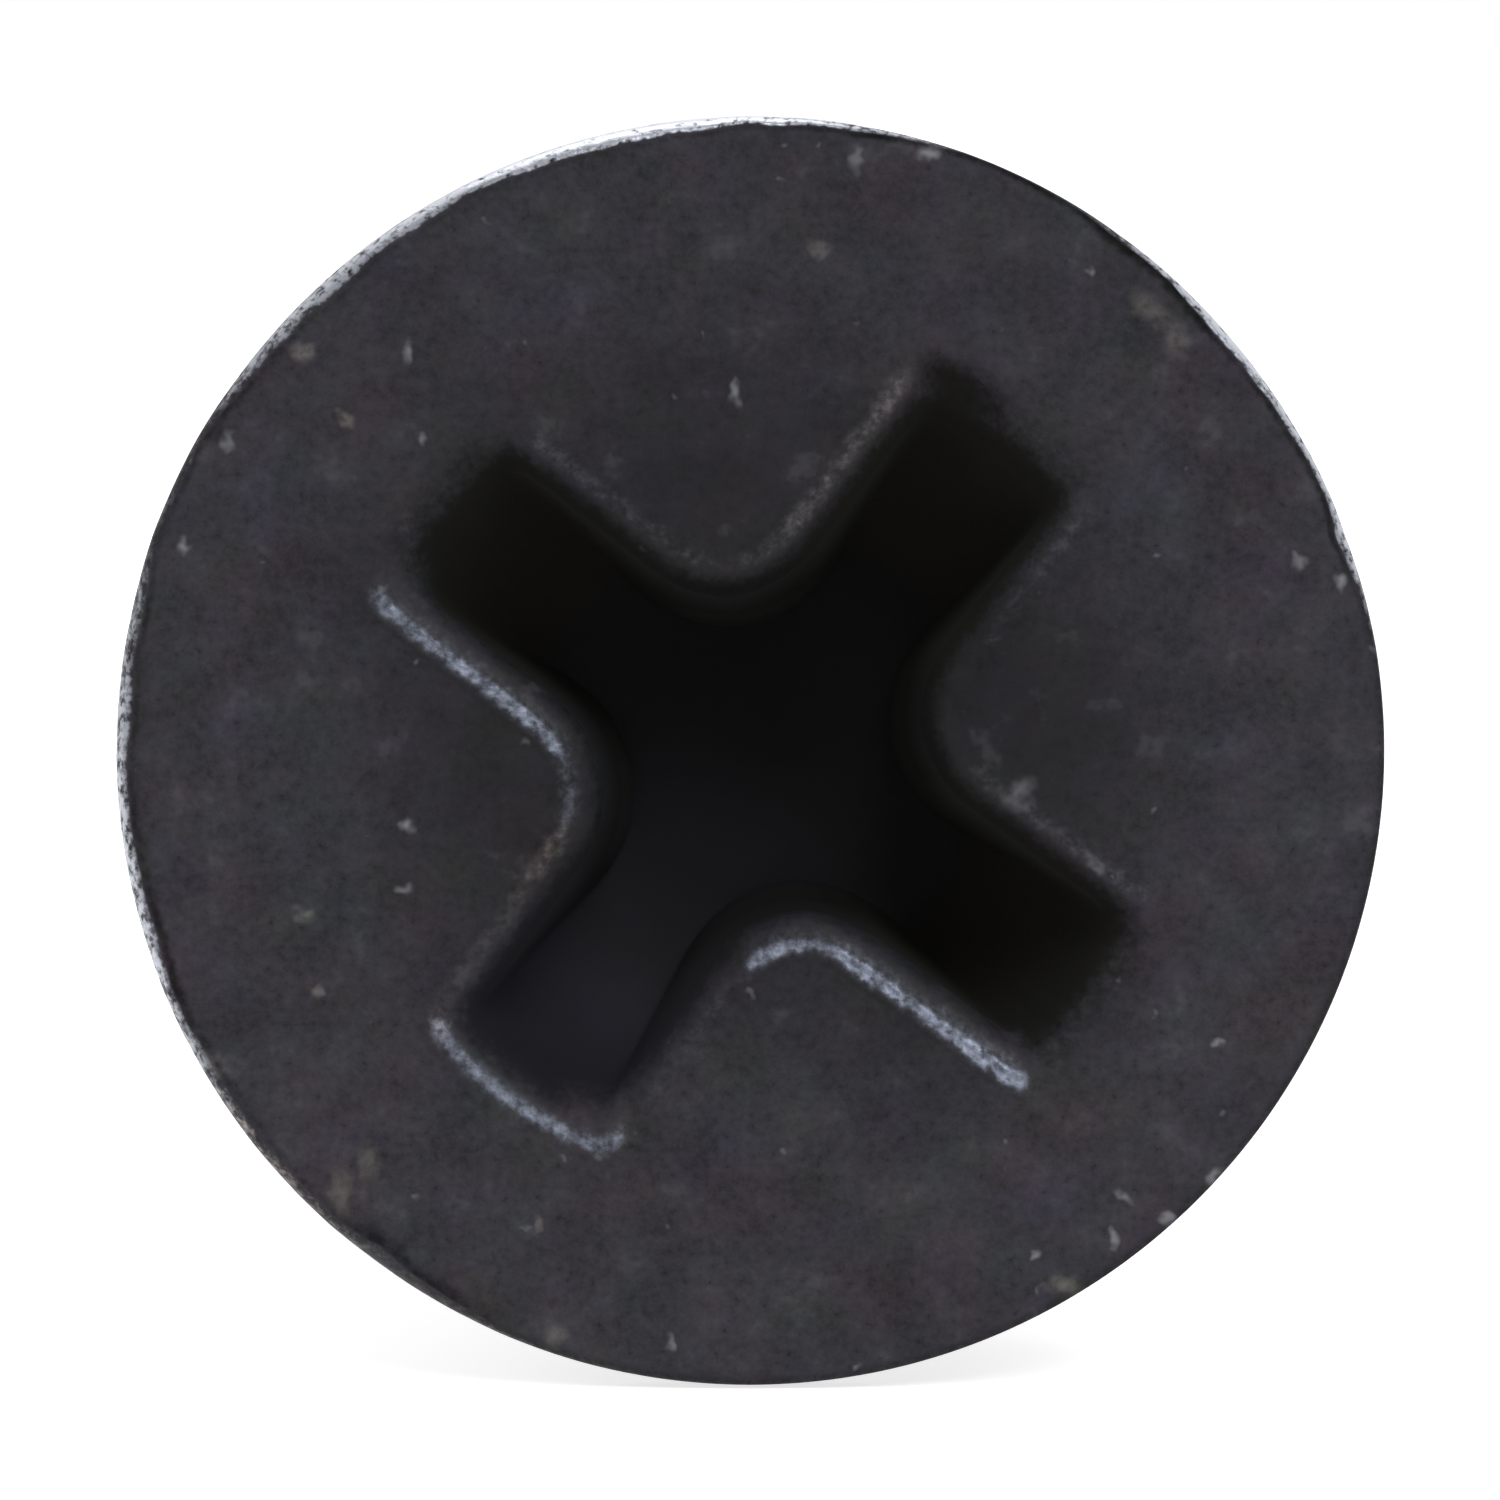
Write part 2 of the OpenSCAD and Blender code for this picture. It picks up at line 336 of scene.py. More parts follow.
def recess_ring(out, deep, step=1, soft=None):
    """One ring of the recess or its lip, with a point for every so many columns."""
    if soft is None:
        soft = round(WALL_SOFT + (EDGE_SOFT - WALL_SOFT) * float(ramp(deep, WALL_END, 0.1)))
    wave = (WAVE * edge_wave + ROUGH * edge_rough) * float(ramp(deep, 2.0, 0.8))
    p = outline(out, deep, soft)
    p = p * (1 + wave / np.abs(p)) + RECESS_MID
    bead = bell(out, BEAD_OUT + 0.012 * edge_rough, BEAD_W)
    lift = BEAD_H * bead * (0.12 + BRIGHT) * (1 + 0.6 * edge_rough)
    sink = SAG * float(ramp(out, SAG_OUT, 0.08)) * float(ramp(deep, 1.2, 0.2))
    # Painted highlight on the bead and, where the lip catches light, on its inner side
    halo = 0.5 * LIT * ramp(out, 0.0, 0.14) * ramp(out, 0.20, 0.16)
    gloss = BRIGHT * np.maximum(bead, halo) * (1 + 0.3 * edge_wave + 0.25 * edge_rough)
    ragged_out = out + 0.02 * edge_rough
    # Painted shade over the lip and walls, further out where the face fades, and along the dark line
    shade = ramp(ragged_out, 0.17, 0.0) * (1 - LIT) + ramp(deep, 0.0, 0.40) * LIT
    shade = np.maximum(shade, FADE * ramp(ragged_out, FADE_TO, FADE_FROM))
    dark_line = DARK_LINE * ramp(BRIGHT, 0.6, 0.9) * bell(out, DARK_LINE_OUT, DARK_LINE_HALF)
    shade = np.maximum(shade, dark_line)
    brown = BROWN * ramp(gloss, 0.0, 0.1)
    values = (p.real, p.imag, deep + sink - lift, gloss, brown, shade)
    return skin.add(*[v[::step] for v in values])


def add_recess():
    """The bottom cone and the walls."""
    tip = skin.add([RECESS_X], [RECESS_UP], [RECESS_DEEP - 0.02], inside=1.0)[0]
    skin.last = recess_ring(0, RECESS_DEEP - 0.05, step=8, soft=0)
    skin.fan(skin.last, tip, at_end=False)
    for start, end, count, step, soft in WALL_RINGS:
        for deep in np.linspace(start, end, count):
            skin.join(recess_ring(0, deep, step, soft))


def add_lip():
    """The rounded edge of the recess and the bead around it."""
    for i in range(LIP_STEPS + 1):
        a = 90 * i / LIP_STEPS
        skin.join(recess_ring(LIP_R * (1 - cos(a)), LIP_R * (1 - sin(a))))
    for out in LIP_RINGS:
        skin.join(recess_ring(out, 0))


add_recess()
add_lip()

# The rounded rim as the photo shows it: angle, width, share of bright metal with its painted highlight
RIM = (
    (0, 0.01, 0.05), (9, 0.015, 0.2), (14, 0.04, 0.6), (20, 0.085, 0.8), (23, 0.045, 0.75),
    (30, 0.06, 0.8), (40, 0.08, 0.9), (48, 0.055, 0.8), (54, 0.04, 0.6), (60, 0.015, 0.1),
    (70, 0.01, 0.1), (75, 0.045, 0.6), (82, 0.06, 0.7), (90, 0.085, 0.95), (105, 0.105, 1.0),
    (133, 0.12, 0.75), (143, 0.10, 0.65), (150, 0.055, 0.35), (160, 0.035, 0.35), (166, 0.075, 0.6),
    (180, 0.095, 0.75), (200, 0.10, 0.75), (218, 0.09, 0.5), (229, 0.07, 0.4), (233, 0.11, 0.28),
    (240, 0.08, 0.28), (247, 0.04, 0.35), (255, 0.015, 0.1), (285, 0.006, 0.0), (345, 0.01, 0.0),
    (360, 0.01, 0.05),
)
# The dark line along it, a groove with painted shade in it: angle and strength
LINE = (
    (0, 0.0), (12, 0.0), (20, 0.75), (30, 0.5), (38, 0.6), (43, 1.0), (56, 0.9), (60, 0.5),
    (77, 0.6), (85, 0.3), (118, 0.1), (130, 0.1), (148, 0.5), (160, 0.2), (175, 0.5), (205, 0.6),
    (213, 0.3), (229, 0.1), (232, 0.7), (240, 0.5), (246, 0.0), (360, 0.0),
)


def round_rim(knots, value):
    """A value between knots, at each column of the rim."""
    return np.interp(rim_at % 360, [k[0] for k in knots], [k[value] for k in knots])


FACE_COLS = COLS // 2
rim_at = RECESS_TURN + np.arange(FACE_COLS) / FACE_COLS * 360
rim_points = flat_points(HEAD_R * cos(rim_at), HEAD_R * sin(rim_at))
RIM_W = round_rim(RIM, 1) * (1 + 0.25 * wobble(rim_points, 1.3, 5) + 0.3 * wobble(rim_points, 5.0, 6))
RIM_DEEP = np.minimum(0.012 + 2.0 * RIM_W, 0.21)
SHINE = round_rim(RIM, 2)
# The stretch where its metal is brown
RIM_WARM = window(rim_at, 214, 252, 8)
# The groove of the dark line: depth, which is uneven, and half its width, larger in three stretches
groove_rough = 1 + 0.9 * wobble(rim_points, 3.0, 7) + 0.6 * wobble(rim_points, 9.0, 10)
GROOVE = 0.003 + 0.015 * round_rim(LINE, 1) * groove_rough
GROOVE_HALF = (0.022 + 0.014 * window(rim_at, 229, 246, 6) + 0.018 * window(rim_at, 43, 57, 4)
               + 0.012 * window(rim_at, 175, 250, 20))
# From the rim's inner edge to the middle of the groove and to the end of the face's own rings
GROOVE_AT, GROOVE_IN = 0.014, 0.10
FACE_RINGS, GROOVE_RINGS, RIM_STEPS = 22, 10, 9
# How much tighter the face's rings stand at the lip
FACE_POWER = 1.15
# Height of the face's faint waves and ripples
FACE_WAVE, FACE_RIPPLE = 0.006, 0.0025
# How dark the painted shade in the groove gets, by its depth and at most, and the band's share of the rim's
# bright metal and painted highlight
GROOVE_SHADE, GROOVE_SHADE_MOST = 46, 0.7
BAND_SHINE = 0.25


def add_face():
    """The face from the lip to the groove. Returns its relief at the last ring."""
    base = outline(LIP_RINGS[-1], 0, EDGE_SOFT)
    base = (base * (1 + 0.014 * edge_wave / np.abs(base)) + RECESS_MID)[::2]
    away = (rim_at - np.degrees(np.angle(base)) + 180) % 360 - 180
    for i in range(1, FACE_RINGS + 1):
        share = (i / FACE_RINGS) ** FACE_POWER
        r = np.abs(base) * (1 - share) + (HEAD_R - RIM_W - GROOVE_IN) * share
        at = rim_at - away * (1 - share)
        points = flat_points(r * cos(at), r * sin(at))
        relief = FACE_WAVE * wobble(points, 0.8, 8) + FACE_RIPPLE * wobble(points, 3.0, 9)
        skin.join(skin.turned(r, at, relief * ramp(i / FACE_RINGS, 0, 0.25)))
    return relief


def add_rim(relief):
    """The groove with painted shade, the rounded edge and the upright band, both with painted highlights.
    """
    for i in range(1, GROOVE_RINGS + 1):
        rest = 1 - i / GROOVE_RINGS
        r = HEAD_R - RIM_W - GROOVE_IN * rest
        dip = GROOVE * bell(r, HEAD_R - RIM_W - GROOVE_AT, GROOVE_HALF)
        groove_shade = np.clip(dip * GROOVE_SHADE, 0, GROOVE_SHADE_MOST)
        skin.join(skin.turned(r, rim_at, relief * rest + dip, inside=groove_shade))
    for i in range(1, RIM_STEPS + 1):
        a = 90 * i / RIM_STEPS
        r = HEAD_R - RIM_W * (1 - sin(a))
        polish_and_highlight = SHINE * (0.6 + 0.4 * float(ramp(sin(a), 0.0, 0.6)))
        skin.join(skin.turned(r, rim_at, RIM_DEEP * (1 - cos(a)), burnish=polish_and_highlight, warm=RIM_WARM, wear=0.3))
    for deep in (0.24, BAND_H - 0.01):
        skin.join(skin.turned(HEAD_R, rim_at, deep, burnish=SHINE * BAND_SHINE, warm=RIM_WARM, wear=0.4))


add_rim(add_face())


# Shank
def blank_r(deep):
    """Radius of the flare, neck, root and point without the ridge."""
    deep = np.asarray(deep, float)
    flare = NECK_R + HOLLOW_R - np.sqrt(np.maximum(0, HOLLOW_R ** 2 - (FLARE_END - deep) ** 2))
    shoulder = NECK_R - np.maximum(0, deep - NECK_END) * tan(SHOULDER)
    root = TIP_R + (ROOT_R - TIP_R) * np.clip((LENGTH - deep) / POINT_L, 0, 1)
    r = np.where(deep < FLARE_END, flare, np.maximum(shoulder, np.minimum(root, ROOT_R)))
    return np.minimum(r, HEAD_R)


def crest_r(deep):
    """Radius of the ridge's crest."""
    return np.maximum(blank_r(deep), THREAD_R * np.clip((LENGTH - deep) / CREST_L, 0, 1))


TURN_COLS = 96


def ridge_mid(step):
    """Depth of the ridge's middle after some steps round the axis, clockwise as seen from the head."""
    turned_by = 360 * step / TURN_COLS - RECESS_TURN
    return THREAD_START + PITCH * ((turned_by - THREAD_TURN) / 360 + 1)


MID_0 = ridge_mid(0)
NECK_RING = MID_0 - PITCH / 2


def add_flare_and_neck():
    """The hollow flare and the plain neck, down to where the thread starts."""
    for deep in np.linspace(BAND_H + 0.015, 1.4, 10):
        wear = float(ramp(deep, 0.7, 0.3)) * 0.3
        skin.join(skin.turned(float(blank_r(deep)), rim_at[::2], deep, wear=wear))
    for deep in np.linspace(1.5, NECK_RING, 9):
        skin.join(skin.turned(float(blank_r(deep)), rim_at[::4], deep))


add_flare_and_neck()

# The thread's grid: steps run round the axis, rows run across the ridge. The ridge ends at
# a whole 36th of a turn.
END_PARTS = 36
ridge_parts = math.floor((LENGTH - BARE_L - THREAD_START) / PITCH * END_PARTS)
ridge_end = THREAD_START + PITCH * ridge_parts / END_PARTS
STEPS = math.floor((ridge_end - MID_0) / PITCH * TURN_COLS)
LAST_MID = LENGTH - 0.1


def mid(step):
    """Depth of the middle of the ridge, which past the last step runs out to the tip."""
    if step <= STEPS:
        return ridge_mid(step)
    end = ridge_mid(STEPS)
    return end + (LAST_MID - end) * (step - STEPS) / TURN_COLS


def half_way(step):
    """Depth of the middle of the root before the ridge."""
    before = mid(step - TURN_COLS) if step >= TURN_COLS else mid(step) - PITCH
    return (before + mid(step)) / 2


def rise(step):
    """Height of the ridge over the root."""
    deep = mid(step)
    turns = (deep - THREAD_START) / PITCH
    full = float(crest_r(deep) - np.minimum(blank_r(deep), ROOT_R))
    start = min(1, max(0, (turns - 1) / RISE_TURNS))
    end = min(1, max(0, (ridge_end - deep) / PITCH / SINK_TURNS))
    return full * start * end


# Rows from the foot of the ridge to its crest: share across and share of the height
FLANK = ((0.0, 0.0), (0.22, 0.035), (0.45, 0.14), (0.65, 0.37), (0.83, 0.68), (0.96, 0.93))
CREST = ((-0.45, 0.985), (0.0, 0.972), (0.45, 0.985))
# Rows of the root before and after the ridge, as shares of the way
BEFORE, AFTER = (0.0, 0.5, 0.85), (0.15, 0.5)
# Least share of the ridge's width, where it rises and sinks
THINNEST = 0.3


def rows(step):
    """Depth, height above the root and wear of each row at a step."""
    h = rise(step)
    w = CREST_W + (RIDGE_W - CREST_W) * max(THINNEST, min(1, h / (THREAD_R - ROOT_R)))
    m = mid(step)
    start, end = half_way(step), half_way(step + TURN_COLS)
    near, far = m - w / 2, m + w / 2
    reach = (w - CREST_W) / 2
    out = [(start + (near - start) * share, 0, 0) for share in BEFORE]
    out += [(near + reach * a, h * b, b ** 4) for a, b in FLANK]
    out += [(m + CREST_W * a, h * b, 1.0) for a, b in CREST]
    out += [(far - reach * a, h * b, b ** 4) for a, b in reversed(FLANK)]
    out += [(far + (end - far) * share, 0, 0) for share in AFTER]
    return out


ROWS = len(rows(0))
# How sharply the ridge's foot leaves the blank, and the height of that foot
FOOT, FOOT_H = 60, 0.1


def shank(step, cells):
    """Points of the shank at one angle."""
    at = RECESS_TURN - 360.0 * step / TURN_COLS
    deep, up, wear = np.array(cells, float).T
    bare = blank_r(deep)
    ridge = np.minimum(bare, ROOT_R) + up
    r = np.where(up > 0, np.logaddexp(bare * FOOT, ridge * FOOT) / FOOT, bare)
    r = np.where(up > FOOT_H, ridge, r)
    proud = ramp(up, FOOT_H, 0.45)
    tip_wear = 0.5 * ramp(deep, LENGTH - 3.0, LENGTH - 0.4)
    return skin.turned(r, at, deep, wear=np.maximum(wear * proud, tip_wear))


def smooth_shank(step, depths):
    """The same without a ridge."""
    return shank(step, [(deep, 0, 0) for deep in depths])


grid = [shank(step, rows(step)) for step in range(STEPS + 1)]


def corner(step, row):
    """Number of the point at a step and row, where the row after the last is the next turn's first."""
    return grid[step][row] if row < ROWS else grid[step + TURN_COLS][0]


def add_thread_start():
    """The wedge from the neck's last ring to the first turn. Returns the point that both share."""
    neck = [skin.last[-k % TURN_COLS] for k in range(TURN_COLS)]
    depths = [cell[0] for cell in rows(0)][1:]
    columns = [[neck[0]] * (ROWS + 1)]
    for step in range(1, TURN_COLS):
        here = [NECK_RING + (deep - NECK_RING) * step / TURN_COLS for deep in depths]
        columns.append([neck[step], *smooth_shank(step, here), grid[step][0]])
    columns.append([neck[0]] + [corner(0, row) for row in range(1, ROWS + 1)])
    skin.sheet(columns)
    return neck[0]


def add_turns():
    """The wound part of the thread."""
    for step in range(STEPS):
        last_row = ROWS - 1 if step + 1 + TURN_COLS > STEPS else ROWS
        for row in range(last_row):
            here, beyond = corner(step, row), corner(step, row + 1)
            skin.quad(here, corner(step + 1, row), corner(step + 1, row + 1), beyond)


def add_thread_end():
    """The last rows of the last turn run into a plain ring, which is returned."""
    first_step = STEPS - TURN_COLS
    ring_deep = half_way(STEPS + TURN_COLS)
    edge_row = {first_step: grid[STEPS][0]}
    for step in range(first_step + 1, STEPS + 1):
        edge_row[step] = smooth_shank(step, [half_way(step + TURN_COLS)])[0]
    for step in range(first_step, STEPS):
        skin.quad(grid[step][ROWS - 1], grid[step + 1][ROWS - 1], edge_row[step + 1], edge_row[step])
    depths = [cell[0] for cell in rows(STEPS)][1:]
    columns = [[*grid[STEPS], edge_row[STEPS]]]
    for k in range(1, TURN_COLS):
        here = [ring_deep - (ring_deep - deep) * (1 - k / TURN_COLS) for deep in depths]
        columns.append([edge_row[first_step + k], *smooth_shank(first_step + k, [*here, ring_deep])])
    ring = [points[-1] for points in columns]
    columns.append([edge_row[STEPS]] * (ROWS + 1))
    skin.sheet(columns)
    return ring


def add_tip(ring):
    """The blunt tip, from the thread's last ring."""
    cols = TURN_COLS // 2
    at = RECESS_TURN + 360.0 * np.arange(cols) / cols - 360.0 * (STEPS % TURN_COLS) / TURN_COLS
    skin.last = np.array([ring[-k % TURN_COLS] for k in range(TURN_COLS)])
    for from_end, r in ((0.2, 0.092), (0.07, 0.062), (0.02, 0.04)):
        skin.join(skin.turned(r, at, LENGTH - from_end, wear=0.6))
    tip = skin.add([0], [0], [LENGTH], wear=0.6)[0]
    skin.fan(skin.last, tip, at_end=True)


# The first point of the thread's grid gives way to the neck's
grid_point, neck_point = int(grid[0][0]), int(add_thread_start())
add_turns()
add_tip(add_thread_end())


def add_body(name):
    """The mesh of the whole skin, without the points that no face has."""
    faces = [tuple(neck_point if i == grid_point else i for i in f) for f in skin.faces]
    used = np.zeros(len(skin.co), bool)
    used[[i for f in faces for i in f]] = True
    number = np.cumsum(used) - 1
    faces = [tuple(int(number[i]) for i in f) for f in faces]
    co = np.array(skin.co, float)[used]
    masks = np.array(skin.masks, float)[used]
    mesh = bpy.data.meshes.new(name)
    mesh.from_pydata((np.array(MIDDLE) + co @ np.array([RIGHT, UP, AXIS]) * MM).tolist(), [], faces)
    mesh.polygons.foreach_set("use_smooth", [True] * len(mesh.polygons))
    place = mesh.attributes.new("place", "FLOAT_VECTOR", "POINT")
    place.data.foreach_set("vector", co.astype(np.float32).ravel())
    colour = mesh.attributes.new("masks", "FLOAT_COLOR", "POINT")
    colour.data.foreach_set("color", masks.astype(np.float32).ravel())
    mesh.update()
    body = bpy.data.objects.new(name, mesh)
    bpy.context.scene.collection.objects.link(body)
    return body


body = add_body("screw_body")


class Graph:
    """Short calls for making and linking shader nodes."""

    def __init__(self, tree):
        self.tree = tree
        tree.nodes.clear()

    def put(self, socket, value):
        if isinstance(value, bpy.types.NodeSocket):
            self.tree.links.new(value, socket)
        elif value is not None:
            socket.default_value = value

    def node(self, kind, inputs=None, **settings):
        n = self.tree.nodes.new(kind)
        for k, v in settings.items():
            setattr(n, k, v)
        for k, v in (inputs or {}).items():
            self.put(n.inputs[k], v)
        return n

    def math(self, op, a, b=None, c=None, clamp=False):
        n = self.node("ShaderNodeMath", operation=op, use_clamp=clamp)
        for i, v in enumerate((a, b, c)):
            self.put(n.inputs[i], v)
        return n.outputs[0]

    def vector(self, op, a, b=None, scale=None):
        n = self.node("ShaderNodeVectorMath", operation=op)
        self.put(n.inputs[0], a)
        if b is not None:
            self.put(n.inputs[1], b)
        if scale is not None:
            self.put(n.inputs["Scale"], scale)
        return n.outputs["Value"] if op in ("DISTANCE", "LENGTH", "DOT_PRODUCT") else n.outputs[0]

    def ramp(self, value, low, high, to_low=0.0, to_high=1.0, smooth=True):
        n = self.node("ShaderNodeMapRange", interpolation_type="SMOOTHSTEP" if smooth else "LINEAR")
        for k, v in (("Value", value), ("From Min", low), ("From Max", high),
                     ("To Min", to_low), ("To Max", to_high)):
            self.put(n.inputs[k], v)
        return n.outputs[0]

    def noise(self, at, scale, detail, rough, move=None, colour=False):
        if move is not None:
            at = self.vector("ADD", at, move)
        inputs = {"Vector": at, "Scale": scale, "Detail": detail, "Roughness": rough}
        return self.node("ShaderNodeTexNoise", inputs).outputs["Color" if colour else "Fac"]

    def mix(self, factor, a, b):
        n = self.node("ShaderNodeMix", data_type="RGBA")
        self.put(n.inputs[0], factor)
        self.put(n.inputs[6], a)
        self.put(n.inputs[7], b)
        return n.outputs[2]


# Marks that stand out on the face: x, up, reach, strength and lean. The lean is the
# direction that a mark is drawn out in, and a round mark has none.
ROUND, LEVEL, RISING, UPRIGHT, FALLING = None, 0, 45, 90, 135
STRETCH = 1.8
PALE_MARKS = (
    (3.82, 1.10, 0.068, 0.90, ROUND), (3.55, 1.23, 0.068, 0.60, ROUND),
    (3.02, -1.89, 0.048, 1.00, ROUND), (2.70, -3.03, 0.068, 1.00, ROUND),
    (2.35, -3.16, 0.058, 1.00, UPRIGHT), (2.99, -2.74, 0.058, 1.00, RISING),
    (2.41, -2.88, 0.058, 0.75, FALLING), (1.86, -3.26, 0.040, 1.00, ROUND),
    (0.69, -3.98, 0.048, 0.70, ROUND), (-0.51, -3.84, 0.048, 0.75, UPRIGHT),
    (-2.20, -0.48, 0.068, 0.95, ROUND), (-2.23, -0.89, 0.058, 0.60, LEVEL),
    (-2.20, 2.56, 0.058, 0.80, UPRIGHT), (-2.11, 2.01, 0.048, 0.70, ROUND),
    (-3.37, 2.00, 0.058, 0.60, UPRIGHT), (-3.65, 1.30, 0.068, 0.85, ROUND),
    (0.69, 3.82, 0.068, 0.60, UPRIGHT), (1.15, 3.86, 0.077, 1.00, LEVEL),
    (-0.09, 2.31, 0.058, 0.75, UPRIGHT), (2.20, 3.09, 0.048, 0.60, ROUND),
    (1.74, -0.28, 0.097, 0.50, RISING), (2.23, -0.74, 0.058, 0.55, FALLING),
)
WARM_MARKS = (
    (2.03, -3.46, 0.087, 0.75, LEVEL), (-2.64, -2.85, 0.116, 0.55, UPRIGHT),
    (-2.46, -2.66, 0.097, 0.45, UPRIGHT), (-1.37, -3.07, 0.058, 0.70, UPRIGHT),
    (-1.25, -3.78, 0.107, 0.60, ROUND), (-2.88, -1.05, 0.058, 0.65, LEVEL),
    (-2.79, -1.57, 0.058, 0.85, ROUND), (-3.46, -2.02, 0.087, 0.80, FALLING),
    (-2.87, 2.56, 0.107, 0.80, ROUND), (-2.61, 2.15, 0.058, 0.65, FALLING),
    (2.60, 2.83, 0.126, 0.40, FALLING), (2.75, 2.66, 0.116, 0.45, UPRIGHT),
    (0.44, 3.23, 0.077, 0.55, LEVEL),
)
DARK_MARKS = (
    (-2.41, -3.10, 0.087, 0.50, FALLING), (-2.26, -3.22, 0.087, 0.55, FALLING),
    (-3.43, 2.05, 0.107, 0.60, RISING), (1.86, 0.29, 0.097, 0.45, UPRIGHT),
)


def marks(g, at, spots):
    """The strongest of some soft marks at each place."""
    drawn_out = {ROUND: at}
    for lean in (LEVEL, RISING, UPRIGHT, FALLING):
        turn = {"Vector": at, "Rotation": (0, 0, math.radians(lean)), "Scale": (STRETCH, 1, 1)}
        drawn_out[lean] = g.node("ShaderNodeMapping", turn, vector_type="TEXTURE").outputs[0]
    total = None
    for x, up, reach, strength, lean in spots:
        middle = complex(x, up)
        if lean is not ROUND:
            middle *= np.exp(-1j * math.radians(lean))
            middle = complex(middle.real / STRETCH, middle.imag)
        away = g.vector("DISTANCE", drawn_out[lean], (middle.real, middle.imag, 0))
        one = g.ramp(away, reach, 0.0, 0.0, strength)
        total = one if total is None else g.math("MAXIMUM", total, one)
    return total


# Noises of the coat: scale in cycles per millimetre, detail, roughness and a move that sets one
# apart from the others
CLOUD = (0.9, 1.0, 0.55)
MOTTLE = (3.4, 3.0, 0.6, (3, 1, 7))
GRAIN = (15.0, 3.0, 0.62, (9, 2, 4))
FINE = (55.0, 2.0, 0.6, (1, 8, 5))
TINTS = (1.7, 2.0, 0.6, (5, 5, 1))
CHIPS = (17.0, 3.0, 0.62, (6, 1, 3))
RAGGED, RAGGED_BY = (9.0, 1.0, 0.6), 0.13
SPECK_SCALE = 4.2
# Colours of the coat at its top and bottom, and what the tints add
COAT_TOP, COAT_LOW = (0.0273, 0.0250, 0.0323, 1), (0.0287, 0.0263, 0.0320, 1)
TINT, TINT_SHARE = (0.058, 0.052, 0.064), 0.25
# Places where the coat is darker or lighter: x, up, how far that reaches and fades out, brightness
SHADES = ((RECESS_X, RECESS_UP, 1.3, 3.5, 0.40), (1.75, 0.15, 0.2, 1.1, 0.58), (0.1, -1.9, 0.3, 1.2, 1.45),
          (-1.1, 1.3, 1.0, 2.4, 0.84))
# Colours of the pale and of the warm marks
PALE, ROSY, OCHRE = (0.20, 0.20, 0.215, 1), (0.165, 0.145, 0.140, 1), (0.155, 0.150, 0.125, 1)
# Colours in the recess, painted shade and light: by the face, deep down at the right and left, and in the
# open arm; the deep left and the open arm are lighter and bluer as painted light
OLIVE = (0.0165, 0.0150, 0.0102, 1)
DEEP_RIGHT, DEEP_LEFT = (0.0165, 0.0150, 0.0150, 1), (0.0240, 0.0218, 0.0250, 1)
OPEN_ARM, OPEN_ARM_AT = (0.0300, 0.0290, 0.0410, 1), (-1.45, -2.0, 0.4)
# Colours of bare metal: on crests, on the lips from dull to bright, the same where brown, on the rim. On
# the lips and rim they carry painted highlights
WORN = (0.19, 0.18, 0.185, 1)
LIP_DULL, LIP_BRIGHT = (0.085, 0.090, 0.110, 1), (0.22, 0.24, 0.30, 1)
BROWN_DULL, BROWN_BRIGHT = (0.095, 0.083, 0.075, 1), (0.22, 0.18, 0.16, 1)
RIM_DULL, RIM_BRIGHT, RIM_BROWN = (0.16, 0.17, 0.20, 1), (0.62, 0.64, 0.70, 1), (0.36, 0.31, 0.29, 1)
SPECULAR = 0.2
# The bump's height, in metres, and its strength
BUMP_M, BUMP_STRENGTH = 0.0000085, 0.8


class Surface:
    """What the material reads at each point: the place, the masks and the shared noises."""

    def __init__(self, g):
        self.at = g.node("ShaderNodeAttribute", attribute_name="place").outputs["Vector"]
        masks = g.node("ShaderNodeAttribute", attribute_name="masks")
        split = g.node("ShaderNodeSeparateColor", {"Color": masks.outputs["Color"]})
        self.burnish, self.warm, inside = split.outputs[0], split.outputs[1], split.outputs[2]
        self.wear = masks.outputs["Alpha"]
        self.depth = g.node("ShaderNodeSeparateXYZ", {0: self.at}).outputs["Z"]
        self.flat_r = g.vector("LENGTH", g.vector("MULTIPLY", self.at, (1, 1, 0)))
        self.at_rim = g.ramp(self.flat_r, 3.6, 3.9)
        self.mottle = g.noise(self.at, *MOTTLE)
        self.grain = g.noise(self.at, *GRAIN)
        self.tint = g.noise(self.at, *TINTS, colour=True)
        scatter = g.vector("SUBTRACT", g.noise(self.at, *RAGGED, colour=True), (0.5, 0.5, 0.5))
        self.ragged = g.vector("ADD", self.at, g.vector("SCALE", scatter, scale=RAGGED_BY))
        self.chips = g.math("SUBTRACT", g.noise(self.at, *CHIPS), 0.5)
        # The painted shade mask gets a chipped border
        border = g.math("MULTIPLY", inside, g.math("SUBTRACT", 1.0, inside))
        chipped = g.math("MULTIPLY", g.math("MULTIPLY", border, self.chips), 5.0)
        self.inside = g.math("ADD", inside, chipped, clamp=True)


